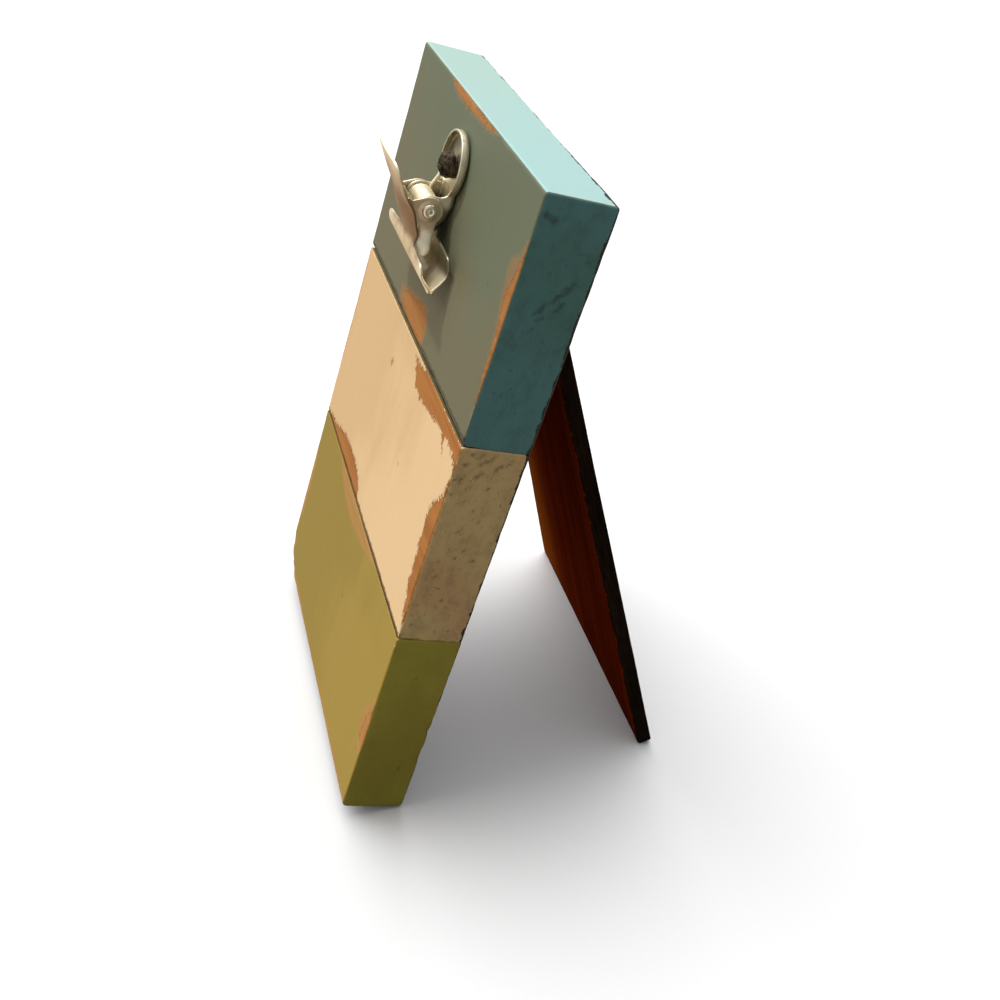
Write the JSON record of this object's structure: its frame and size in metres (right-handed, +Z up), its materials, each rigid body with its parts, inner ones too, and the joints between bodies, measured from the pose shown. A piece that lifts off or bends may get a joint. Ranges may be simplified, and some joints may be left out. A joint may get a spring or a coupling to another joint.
{
  "type": "clip frame",
  "caption": "Desk photo display: a leaning board of painted wooden blocks with a spring clip that grips a print and an easel leg that folds flat.",
  "frame": {"origin": "middle of the footprint, on the surface that the board's lower back edge and the leg's foot stand on", "axes": "+Z up, -Y out of the display side, +X to the viewer's right; the board leans back 14.8 degrees"},
  "size_m": [0.17, 0.1406, 0.2633],
  "materials": {
    "sage_paint": "distressed matt paint, sage front with teal sides",
    "cream_paint": "distressed matt paint, cream front with tan sides",
    "olive_paint": "distressed matt paint, olive",
    "bare_wood": "bare hardwood dowel",
    "dark_wood": "dark brown stain",
    "nickel": "aged nickel plate, satin",
    "spring_steel": "bright spring wire",
    "dark_iron": "rough dark iron",
    "brass": "aged brass"
  },
  "bodies": {
    "board": {"bottom_block": "olive_paint", "middle_block": "cream_paint", "top_block": "sage_paint", "dowel_low_left": "bare_wood", "dowel_low_right": "bare_wood", "dowel_high_left": "bare_wood", "dowel_high_right": "bare_wood", "clip_back_plate": "nickel", "clip_pin": "nickel", "clip_spring": "spring_steel", "clip_screw": "dark_iron", "hinge_board_leaf": "brass", "hinge_board_screw_left": "brass", "hinge_board_screw_right": "brass", "hinge_pin": "brass"},
    "clip_front": {"clip_front_plate": "nickel"},
    "leg": {"easel_leg": "dark_wood", "hinge_leg_leaf": "brass", "hinge_leg_screw_left": "brass", "hinge_leg_screw_right": "brass"}
  },
  "joints": [
    {"name": "leg_fold", "type": "hinge", "parent": "board", "child": "leg", "pos_m": [0, 0.0111, 0.20461], "axis": [-1, 0, 0], "range_deg": [0, 28.7]},
    {"name": "clip_open", "type": "hinge", "parent": "board", "child": "clip_front", "pos_m": [0, -0.0214, 0.22839], "axis": [-1, 0, 0], "range_deg": [0, 35], "stiffness_Nm_per_rad": 0.3, "springref_deg": -40.11, "deforming": ["clip_spring"]}
  ]
}
